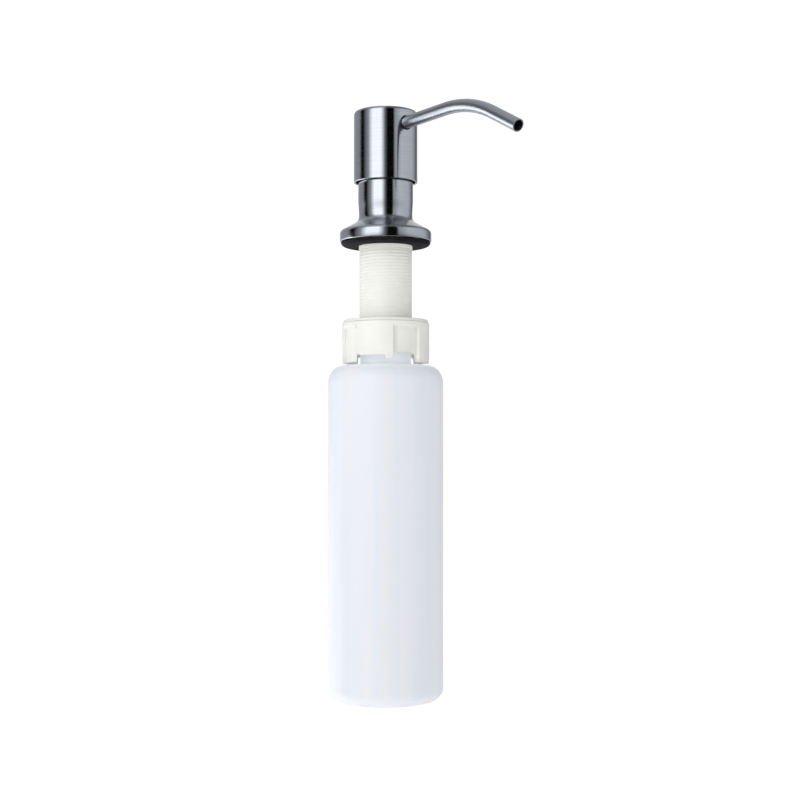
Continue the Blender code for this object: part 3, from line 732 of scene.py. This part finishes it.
def make_shank(look):
    """Threaded tube with a plain collar at its top, a disc in the flange and a neck above."""
    cad = Span("shank")
    crest = 12.5 * MM
    collar = 12.72 * MM
    bore = 10.3 * MM
    neck = 11.5 * MM
    disc_top = 4.4 * MM
    disc_bottom = 2.3 * MM
    thread_top = -1.6 * MM
    thread_bottom = cad.bottom + 0.8 * MM
    rows = round((thread_top - thread_bottom) / THREAD_PITCH * THREAD_ROWS_PER_PITCH)
    fade = 1.2 * MM
    outline = [
        (bore, cad.top), (neck - 0.4 * MM, cad.top), (neck, cad.top - 0.4 * MM), (neck, disc_top + 0.3 * MM),
        (neck + 0.3 * MM, disc_top), (cad.radius - 0.3 * MM, disc_top), (cad.radius, disc_top - 0.3 * MM),
        (cad.radius, disc_bottom), (collar, disc_bottom), (collar, thread_top + 0.35 * MM),
        (collar - 0.1 * MM, thread_top + 0.25 * MM), (crest - 0.1 * MM, thread_top + 0.2 * MM),
    ]
    outline += [(crest, thread_top)] + line((crest, thread_top), (crest, thread_bottom), rows)
    outline += [(crest, thread_bottom), (crest, cad.bottom + 0.3 * MM)]
    outline += [(crest - 0.3 * MM, cad.bottom), (bore, cad.bottom)]

    def threaded(angle, radius, height):
        if abs(radius - crest) > SAME_POINT or not thread_bottom <= height <= thread_top:
            return radius, height
        share = min(1.0, (thread_top - height) / fade, (height - thread_bottom) / fade)
        depth = THREAD_DEPTH * max(0.0, share)
        return radius - depth * thread_wave(height / THREAD_PITCH - angle / math.tau), height

    steps = 128
    piece = turned("threaded_shank", outline, steps, 60, threaded)
    place(piece, "base", "plastic_shank", look, "shank")


NUT_PAD_MIDDLE = -55.5          # degrees from +X to the middle of the front pad
NUT_PANEL_WIDTH = 39.0          # degrees
NUT_PADS = 4
NUT_PAD_END = -30.2             # degrees from +X to the end of the front pad
NUT_STEP_WIDTH = 0.7            # degrees that a step at a panel's side takes
NUT_CUT_ANGLE = -40.0           # degrees from +X to the way that the window is cut through
NUT_CUT_WIDTH = 27.3 * MM
NUT_CUT_RISE = 3.0 * MM
NUT_TAB_WIDTH = 3.6 * MM
NUT_TAB_DROP = 1.9 * MM
NUT_PANEL_RISE = 1.1 * MM
NUT_SLOT_WIDTH = 1.6 * MM
NUT_SLOT_RISE = 0.6 * MM
NUT_RIM = 1.9 * MM
NUT_SKIRT_INNER = 17.8 * MM
NUT_CHAMFER = 0.5 * MM
NUT_STEPS = 700


def soft_step(value, low, high):
    return eased(min(1.0, max(0.0, (value - low) / (high - low))))


def turn_between(first_deg, second_deg):
    """Signed angle from the second to the first, in degrees, from -180 to 180."""
    return (first_deg - second_deg + 180) % 360 - 180


def window(value, low, high, edge):
    """1 between low and high, falling to 0 over an edge centred on each of them."""
    half = edge / 2
    return soft_step(value, low - half, low + half) * (1 - soft_step(value, high - half, high + half))


def nut_panel(angle_deg):
    """1 in the nut's sunk panels and 0 on its grip pads."""
    pad_spacing = 360 / NUT_PADS
    middle = NUT_PAD_MIDDLE + pad_spacing / 2
    away = (angle_deg - middle + pad_spacing / 2) % pad_spacing - pad_spacing / 2
    return window(away, -NUT_PANEL_WIDTH / 2, NUT_PANEL_WIDTH / 2, NUT_STEP_WIDTH)


def nut_arch(angle_deg, radius):
    """Rise of the skirt's lower edge, where a window is cut straight through the nut.

    Each side of the window ends in a rounded slot. A short tab hangs at the end of the pad,
    and the edge is higher under the sunk panel.
    """
    away = (angle_deg - NUT_CUT_ANGLE + 90) % 180 - 90
    across = radius * math.sin(math.radians(away))
    half = NUT_CUT_WIDTH / 2
    if abs(across) > half:
        return 0.0
    pad_end = radius * math.sin(math.radians(NUT_PAD_END - NUT_CUT_ANGLE))
    soft = 0.25 * MM
    rise = NUT_CUT_RISE
    rise -= NUT_TAB_DROP * window(across, pad_end - NUT_TAB_WIDTH, pad_end, 2 * soft)
    rise += NUT_PANEL_RISE * window(across, pad_end, half - NUT_SLOT_WIDTH, soft)
    for side in (-1, 1):
        from_middle = (across * side - half + NUT_SLOT_WIDTH / 2) / (NUT_SLOT_WIDTH / 2)
        rise += NUT_SLOT_RISE * math.sqrt(max(0.0, 1 - from_middle * from_middle))
    return rise * soft_step(half - abs(across), 0.0, soft)


def nut_angles():
    """Even steps round the nut, with the ends of each step at a panel's side put in."""
    corners = []
    half_step = NUT_STEP_WIDTH / 2
    for pad in range(NUT_PADS):
        for side in (-1, 1):
            edge = NUT_PAD_MIDDLE + 360 / NUT_PADS * (pad + 0.5) + side * NUT_PANEL_WIDTH / 2
            corners += [edge - half_step, edge + half_step]
    even = [360 * i / NUT_STEPS for i in range(NUT_STEPS)]
    apart = 0.3 * 360 / NUT_STEPS
    kept = [a for a in even if all(abs(turn_between(a, c)) > apart for c in corners)]
    return sorted(kept + [c % 360 for c in corners])


def nut_section(cad, rim, thread_end):
    """(kind, radius, height) points of the nut's section, outside down and inside up."""
    shoulder = 0.45 * MM
    thread_crest = 12.8 * MM
    wall_rows = 10
    under_rows = 6
    rows_per_pitch = 8
    thread_rows = round((cad.top - thread_end) / THREAD_PITCH * rows_per_pitch)
    section = [("top", thread_crest + NUT_CHAMFER, cad.top)]
    for radius, height in arc(cad.radius - shoulder, cad.top - shoulder, shoulder, shoulder, 90, 0, 5):
        section.append(("top", radius, height))
    section.append(("top", cad.radius, rim + 0.1 * MM))
    for i in range(wall_rows + 1):
        section.append(("wall", cad.radius, rim + (cad.bottom - rim) * i / wall_rows))
    for i in range(1, under_rows):
        section.append(("under", cad.radius + (NUT_SKIRT_INNER - cad.radius) * i / under_rows, cad.bottom))
    for i in range(wall_rows + 1):
        section.append(("skirt", NUT_SKIRT_INNER, cad.bottom + (thread_end - cad.bottom) * i / wall_rows))
    for i in range(thread_rows + 1):
        height = thread_end + (cad.top - NUT_CHAMFER - thread_end) * i / thread_rows
        section.append(("thread", thread_crest, height))
    return section


def make_clamp_nut(look):
    """Four grip pads between sunk panels, a threaded ring inside and a cut-away skirt."""
    cad = Span("clamp_nut")
    panel_depth = 1.7 * MM
    rim = cad.top - NUT_RIM
    thread_end = cad.top - 9.7 * MM
    section = nut_section(cad, rim, thread_end)
    edge_round = 0.25 * MM
    sunk_over = 0.5 * MM
    thread_fade = 1 * MM
    verts = []
    angles = nut_angles()
    for degrees in angles:
        angle = math.radians(degrees)
        outer = cad.radius - panel_depth * nut_panel(degrees)
        for kind, radius, height in section:
            if kind == "wall":
                sunk = soft_step(rim - height, 0.0, sunk_over)
                radius += (outer - radius) * sunk
                rise = nut_arch(degrees, radius)
                height += rise * (rim - height) / (rim - cad.bottom)
                radius -= max(0.0, edge_round - (height - cad.bottom - rise))
            elif kind == "under":
                share = (cad.radius - radius) / (cad.radius - NUT_SKIRT_INNER)
                radius = outer + (NUT_SKIRT_INNER - outer) * share
                height += nut_arch(degrees, radius)
            elif kind == "skirt":
                height += nut_arch(degrees, radius) * (thread_end - height) / (thread_end - cad.bottom)
            elif kind == "thread":
                turns = height / THREAD_PITCH - angle / math.tau
                fade = soft_step(height, thread_end, thread_end + thread_fade)
                radius += THREAD_DEPTH * (1 - thread_wave(turns)) * fade
            verts.append((radius * math.cos(angle), radius * math.sin(angle), height))
    piece = new_piece("clamp_nut_body", verts, grid_faces(len(angles), len(section)), 32)
    face_outward(piece)
    place(piece, "nut", "plastic_nut", look, "clamp_nut")


def make_clamp_washer(look):
    cad = Span("clamp_washer")
    inner = 12.8 * MM
    low = cad.bottom - 0.24 * MM
    edge = cad.radius + 0.5 * MM
    corners = [(inner, cad.top), (edge, cad.top), (edge, low), (inner, low)]
    outline = rounded(corners, [0.15 * MM, 0.9 * MM, 0.1 * MM, 0.15 * MM])
    piece = turned("clamp_washer_ring", outline, FINE, 50)
    place(piece, "nut_carriage", "plastic_nut", look, "clamp_washer")


# ---------------- bottle

BOTTLE_NECK = 10.0 * MM


def bottle_outline(cad):
    """Neck, bead, shoulder and wall outside, the pushed-up base, then the wall inside."""
    shoulder = -56.5 * MM
    shoulder_r = 7.0 * MM
    shoulder_z = 8.5 * MM
    foot = 7.0 * MM
    wall = 1.1 * MM
    neck_bore = 8.1 * MM
    lip_inner = 0.4 * MM
    lip_outer = 0.5 * MM
    bead = 12.1 * MM
    bead_top = -48.6 * MM
    bead_edge = 0.4 * MM
    bead_root = 0.9 * MM
    push_up = 1.6 * MM
    push_up_radius = 13.0 * MM
    push_up_slope = 4 * MM
    push_up_steps = 8
    corner = cad.radius - shoulder_r
    outline = arc(neck_bore + lip_inner, cad.top - lip_inner, lip_inner, lip_inner, 180, 90, 4)
    outline += arc(BOTTLE_NECK - lip_outer, cad.top - lip_outer, lip_outer, lip_outer, 90, 0, 4)
    outline += line((BOTTLE_NECK, cad.top - lip_outer), (BOTTLE_NECK, bead_top + 0.3 * MM), 60)
    outline += [(BOTTLE_NECK, bead_top), (bead - bead_edge, bead_top), (bead, bead_top - bead_edge)]
    outline += [(bead, shoulder + bead_root)]
    outline += arc(bead + bead_root, shoulder + bead_root, bead_root, bead_root, 180, 270, 5)
    outline += line((bead + bead_root, shoulder), (corner, shoulder), 4)
    outline += arc(corner, shoulder - shoulder_z, shoulder_r, shoulder_z, 90, 0, 20)
    outline += line((cad.radius, shoulder - shoulder_z), (cad.radius, cad.bottom + foot), 60)
    outline += arc(cad.radius - foot, cad.bottom + foot, foot, foot, 0, -90, 16)
    outline += line((cad.radius - foot, cad.bottom), (push_up_radius + 1 * MM, cad.bottom), 4)
    for i in range(push_up_steps + 1):
        share = i / push_up_steps
        outline.append((push_up_radius - push_up_slope * share, cad.bottom + push_up * eased(share)))
    outline += [(0.0, cad.bottom + push_up), (0.0, cad.bottom + push_up + wall)]
    outline += [(push_up_radius - push_up_slope, cad.bottom + push_up + wall)]
    outline += [(push_up_radius, cad.bottom + wall)]
    outline += arc(cad.radius - foot, cad.bottom + foot, foot - wall, foot - wall, -90, 0, 10)
    outline += line((cad.radius - wall, cad.bottom + foot), (cad.radius - wall, shoulder - shoulder_z), 20)
    outline += arc(corner, shoulder - shoulder_z, shoulder_r - wall, shoulder_z - wall, 0, 90, 10)
    outline += [(neck_bore, shoulder - wall)]
    return outline


def make_bottle(look):
    """Blown bottle: neck thread, seam lines, a foot ring and a pushed-up base."""
    cad = Span("bottle")
    pitch = 3.0 * MM
    thread_low = -46.0 * MM
    thread_high = cad.top - 1.5 * MM
    thread_depth = 0.9 * MM
    fade = 1.5 * MM
    ridge_half = 0.24               # share of a turn
    seam_deg = 90.0
    seam_height = 0.05 * MM
    seam_width = 0.9                # degrees
    wall_from = cad.radius - 0.2 * MM

    def shaped(angle, radius, height):
        if abs(radius - BOTTLE_NECK) < SAME_POINT and thread_low < height < thread_high:
            ends = soft_step(height, thread_low, thread_low + fade)
            ends *= 1 - soft_step(height, thread_high - fade, thread_high)
            phase = (height / pitch - angle / math.tau) % 1.0
            ridge = max(0.0, 1 - abs(phase - 0.5) / ridge_half)
            return radius - thread_depth * (1 - ridge * ends), height
        if radius > wall_from:
            degrees = math.degrees(angle)
            away = min(abs(turn_between(degrees, seam_deg)), abs(turn_between(degrees, seam_deg + 180)))
            return radius - seam_height * min(1.0, away / seam_width), height
        return radius, height

    piece = turned("bottle_body", bottle_outline(cad), FINE, 45, shaped)
    place(piece, "bottle", "plastic_bottle", look, "bottle")


# ---------------- inner pieces

def make_return_spring(look):
    """Drawn wire spring with closed ends."""
    low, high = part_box("return_spring")
    wire = 0.45 * MM
    coil = high.y - wire
    bottom = low.z + wire
    top = high.z - wire
    closed_turns = 1
    open_turns = 7
    per_turn = 36
    wire_sides = 12
    count = (open_turns + 2 * closed_turns) * per_turn
    closed_rise = 2 * wire * 1.04 * closed_turns
    centers = []
    crosses = []
    for i in range(count + 1):
        turns = i / per_turn
        angle = math.tau * turns
        into_open = min(max(turns - closed_turns, 0.0), open_turns) / open_turns
        into_ends = turns - into_open * open_turns
        height = bottom + closed_rise * into_ends / closed_turns
        height += (top - bottom - 2 * closed_rise) * into_open
        out = Vector((math.cos(angle), math.sin(angle), 0.0))
        centers.append(out * coil + Vector((0.0, 0.0, height)))
        crosses.append((out, Vector((0.0, 0.0, 1.0))))
    piece = tube_piece("return_spring_wire", centers, crosses, [wire] * len(centers), wire_sides)
    place(piece, "pump", "steel_spring", look, "return_spring")
    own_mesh(piece)


def make_inlet_ball(look):
    low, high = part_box("inlet_ball")
    radius = (high.z - low.z) / 2
    rows = arc(0.0, (high.z + low.z) / 2, radius, radius, -90, 90, 32)
    rows[0] = (0.0, rows[0][1])
    rows[-1] = (0.0, rows[-1][1])
    place(turned("inlet_ball_round", rows, SMALL), "valve_ball", "steel_ball", look, "inlet_ball")


def make_o_ring(route, look):
    """A torus round the spout's root, at the middle of the CAD ring."""
    low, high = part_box("spout_o_ring")
    thick = 0.75 * MM
    major = high.y - thick
    piece = turned("spout_o_ring_round", arc(major, 0.0, thick, thick, 0, 350, 35), SMALL)
    middle = route.root_point((low.x + high.x) / 2)
    piece.data.transform(Matrix.Translation(middle) @ Matrix.Rotation(math.pi / 2 - SPOUT_RISE, 4, "Y"))
    place(piece, "head", "rubber_seal", look, "spout_o_ring")


def make_dip_tube(look):
    """Its lower end is cut at a slant, so that the bottle's floor can't close it."""
    low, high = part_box("dip_tube")
    slant = 0.7

    def slanted(angle, radius, height):
        near_end = soft_step(low.z + 1 * MM - height, 0.0, 0.5 * MM)
        return radius, height + near_end * (high.y + radius * math.cos(angle)) * slant

    make_turned_inner("dip_tube", "pump", "plastic_tube", look, 0.15 * MM, slanted)


def make_pump_collar(look):
    """Cover ring with fine grip ridges round its edge."""
    edge_from = Span("pump_collar").radius - 0.05 * MM
    ridges = 48
    ridge_depth = 0.12 * MM

    def ridged(angle, radius, height):
        if radius < edge_from:
            return radius, height
        return radius - ridge_depth * (0.5 + 0.5 * math.cos(ridges * angle)), height

    make_turned_inner("pump_collar", "pump", "plastic_pump", look, 0.3 * MM, ridged)


def paint(node, look):
    """Gives a CAD node that stays its finished material."""
    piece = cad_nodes[node]
    piece.data.materials.clear()
    piece.data.materials.append(look)


def make_looks():
    white = (0.83, 0.83, 0.79)
    off_white = (0.77, 0.775, 0.735)
    return {
        "head": brushed_around("steel_head"),
        "flange": brushed_around("steel_flange"),
        "spout": brushed_along("steel_spout"),
        "shank": moulded("plastic_shank", off_white, white, 0.42),
        "nut": moulded("plastic_nut", off_white, white, 0.38),
        "pump": moulded("plastic_pump", (0.74, 0.75, 0.76), (0.82, 0.83, 0.84), 0.35),
        "piston": moulded("plastic_piston", (0.66, 0.71, 0.77), (0.74, 0.79, 0.85), 0.4),
        "tube": moulded("plastic_tube", (0.78, 0.8, 0.84), (0.86, 0.88, 0.9), 0.3, 0.15, 0.3),
        "bottle": milky_bottle("plastic_bottle"),
        "gasket": rubber("rubber_black", (0.004, 0.005, 0.006)),
        "seal": rubber("rubber_seal", (0.03, 0.03, 0.03)),
        "spring": bright_metal("steel_spring", (0.62, 0.62, 0.63), 0.3),
        "ball": bright_metal("steel_ball", (0.72, 0.72, 0.74), 0.12),
    }


# ---------------- stage, light, camera

# Light in the world by direction round the axis: degrees to the camera's right, and brightness.
# Polished pieces mirror the studio's bands, with others above and below. Matt pieces get the soft
# bands, which are a little weaker on the right.
STUDIO_BANDS = [
    (-180, 0.8), (-155, 0.4), (-110, 0.3), (-98, 0.0), (-88, 0.0), (-65, 0.4), (-48, 1.6), (-18, 1.6),
    (-3, 0.2), (6, 0.0), (28, 0.0), (34, 0.4), (60, 0.7), (110, 0.6), (145, 0.1), (168, 0.7), (180, 0.8),
]
UPPER_BANDS = [(-180, 0.5), (-105, 0.3), (-30, 0.6), (-10, 0.5), (5, 0.1), (25, 0.1), (140, 0.2), (180, 0.5)]
LOWER_BANDS = [
    (-180, 0.5), (-120, 2.0), (-102, 2.5), (-90, 0.0), (-50, 0.5), (-15, 0.3), (5, 0.0), (25, 0.0),
    (120, 0.5), (180, 0.5),
]
FLOOR_BANDS = [(-180, 0.3), (180, 0.3)]
SOFT_BANDS = [(-180, 0.6), (-90, 0.75), (0, 0.75), (110, 0.5), (180, 0.6)]
STUDIO_TINT = (0.93, 0.96, 1.0)
SOFT_TINT = (1.0, 1.0, 1.0)
# Heights of a direction, from -1 to 1, between which its light turns into the next bands
UPPER_EDGE = (0.42, 0.86)
LOWER_EDGE = (0.05, -0.07)
FLOOR_EDGE = (-0.80, -0.95)
BACKGROUND = 1.05
FLOOR_GLOW = 0.44
FLOOR_REACH = 30.0
FLOOR_GAP = 0.2 * MM

# Key light: degrees to the camera's right, degrees up, watts, and metres
KEY_TURN = -42
KEY_RISE = 22
KEY_POWER = 3.9
KEY_SIZE = 0.7
KEY_DISTANCE = 1.2


def make_studio():
    """World: white to the camera, an even soft light on matt pieces, panels in mirrors."""
    world = bpy.data.worlds.new("studio")
    bpy.context.scene.world = world
    world.use_nodes = True
    world.node_tree.nodes.clear()
    nodes = Nodes(world.node_tree)
    split = nodes.add("ShaderNodeSeparateXYZ")
    nodes.link(nodes.add("ShaderNodeTexCoord").outputs["Generated"], split.inputs[0])
    x, y, height = split.outputs
    turned_by = nodes.math("SUBTRACT", nodes.math("ARCTAN2", y, x), CAMERA_SIDE)
    share = nodes.math("FRACT", nodes.math("ADD", nodes.math("DIVIDE", turned_by, math.tau), 1.5))

    def banded(table, tint):
        ramp = nodes.add("ShaderNodeValToRGB")
        bands = ramp.color_ramp
        bands.interpolation = "LINEAR"
        while len(bands.elements) < len(table):
            bands.elements.new(0.5)
        for element, (degrees, value) in zip(bands.elements, table):
            element.position = (degrees + 180) / 360
            element.color = (*(value * part for part in tint), 1)
        nodes.link(share, ramp.inputs["Fac"])
        return ramp.outputs["Color"]

    def toward(panels, table, edge):
        """Blends into another table's panels as the direction's height crosses an edge."""
        blend = nodes.add("ShaderNodeMix", data_type="RGBA")
        factor = nodes.spread(height, *edge, 0.0, 1.0, interpolation_type="SMOOTHSTEP")
        nodes.link(factor, blend.inputs["Factor"])
        nodes.link(panels, blend.inputs["A"])
        nodes.link(banded(table, STUDIO_TINT), blend.inputs["B"])
        return blend.outputs["Result"]

    def background(color=None, strength=1.0):
        node = nodes.add("ShaderNodeBackground")
        node.inputs["Color"].default_value = (1.0, 1.0, 1.0, 1.0)
        node.inputs["Strength"].default_value = strength
        if color is not None:
            nodes.link(color, node.inputs["Color"])
        return node.outputs[0]

    def mix(factor, first, second):
        node = nodes.add("ShaderNodeMixShader")
        for socket, source in zip(node.inputs, (factor, first, second)):
            nodes.link(source, socket)
        return node.outputs[0]

    panels = banded(STUDIO_BANDS, STUDIO_TINT)
    panels = toward(panels, UPPER_BANDS, UPPER_EDGE)
    panels = toward(panels, LOWER_BANDS, LOWER_EDGE)
    panels = toward(panels, FLOOR_BANDS, FLOOR_EDGE)
    rays = nodes.add("ShaderNodeLightPath")
    soft = background(banded(SOFT_BANDS, SOFT_TINT))
    lit = mix(rays.outputs["Is Glossy Ray"], soft, background(panels))
    shown = mix(rays.outputs["Is Camera Ray"], lit, background(strength=BACKGROUND))
    nodes.link(shown, nodes.add("ShaderNodeOutputWorld").inputs["Surface"])


def make_floor():
    """A wide white floor just under the object, which polished pieces don't mirror."""
    low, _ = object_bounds()
    look = Look("floor")
    look.shader.inputs["Roughness"].default_value = 0.9
    cloud = look.noise(look.object_point(), 2.0, detail=2.0)
    look.tint(look.level(cloud, 0.0, 1.0), (0.955, 0.955, 0.955), (0.975, 0.975, 0.975))
    look.shader.inputs["Emission Color"].default_value = (1.0, 1.0, 1.0, 1.0)
    look.shader.inputs["Emission Strength"].default_value = FLOOR_GLOW
    signs = ((-1, -1), (1, -1), (1, 1), (-1, 1))
    corners = [(x * FLOOR_REACH, y * FLOOR_REACH, low.z - FLOOR_GAP) for x, y in signs]
    floor = new_piece("floor", corners, [(0, 1, 2, 3)])
    floor.data.materials.append(look.material)
    floor.visible_glossy = False
    floor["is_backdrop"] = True


def make_key_light():
    """A soft square light that faces the middle of the object from the camera's left."""
    low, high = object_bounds()
    data = bpy.data.lights.new("key_left", "AREA")
    data.energy = KEY_POWER
    data.size = KEY_SIZE
    light = bpy.data.objects.new("key_left", data)
    bpy.context.scene.collection.objects.link(light)
    around = CAMERA_SIDE + math.radians(KEY_TURN)
    up = math.radians(KEY_RISE)
    away = Vector((math.cos(around) * math.cos(up), math.sin(around) * math.cos(up), math.sin(up)))
    light.location = Vector((0.0, 0.0, (low.z + high.z) / 2)) + away * KEY_DISTANCE
    light.rotation_euler = away.to_track_quat("Z", "Y").to_euler()
    light.visible_glossy = False


def make_camera():
    data = bpy.data.cameras.new("camera")
    data.lens = CAMERA_LENS
    data.sensor_width = 36.0
    data.shift_x = CAMERA_SHIFT_X
    data.shift_y = CAMERA_SHIFT_Y
    data.clip_start = 0.01
    data.clip_end = 100.0
    camera = bpy.data.objects.new("camera", data)
    bpy.context.scene.collection.objects.link(camera)
    camera.location = (
        CAMERA_DISTANCE * math.sin(CAMERA_AZIMUTH),
        -CAMERA_DISTANCE * math.cos(CAMERA_AZIMUTH),
        CAMERA_HEIGHT,
    )
    camera.rotation_euler = (math.pi / 2, 0.0, CAMERA_AZIMUTH)
    bpy.context.scene.camera = camera


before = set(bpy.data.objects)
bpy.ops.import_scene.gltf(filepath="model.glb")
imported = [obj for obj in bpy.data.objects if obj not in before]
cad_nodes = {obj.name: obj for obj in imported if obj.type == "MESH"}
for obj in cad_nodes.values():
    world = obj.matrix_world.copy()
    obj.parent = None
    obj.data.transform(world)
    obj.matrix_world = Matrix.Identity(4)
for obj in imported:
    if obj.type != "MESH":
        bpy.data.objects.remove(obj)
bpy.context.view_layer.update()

looks = make_looks()
route = SpoutRoute()
make_spout(route, looks["spout"])
make_head_cap(route, looks["head"])
make_flange(looks["flange"])
make_flange_gasket(looks["gasket"])
make_shank(looks["shank"])
make_clamp_nut(looks["nut"])
make_clamp_washer(looks["nut"])
make_bottle(looks["bottle"])
make_turned_inner("pump_cylinder", "pump", "plastic_pump", looks["pump"])
make_pump_collar(looks["pump"])
make_turned_inner("pump_chaplet", "pump", "plastic_piston", looks["piston"])
make_turned_inner("pump_seat_gasket", "pump", "rubber_seal", looks["seal"])
make_dip_tube(looks["tube"])
make_turned_inner("piston", "plunger", "plastic_piston", looks["piston"])
make_turned_inner("stem_foot", "plunger", "plastic_pump", looks["pump"])
make_turned_inner("stem", "head", "plastic_pump", looks["pump"])
make_turned_inner("bottle_neck_gasket", "bottle_carriage", "rubber_seal", looks["seal"])
make_return_spring(looks["spring"])
make_inlet_ball(looks["ball"])
make_o_ring(route, looks["seal"])
paint("head_core", looks["pump"])

make_floor()
make_key_light()
make_studio()
make_camera()
bpy.context.scene.view_settings.view_transform = "Standard"
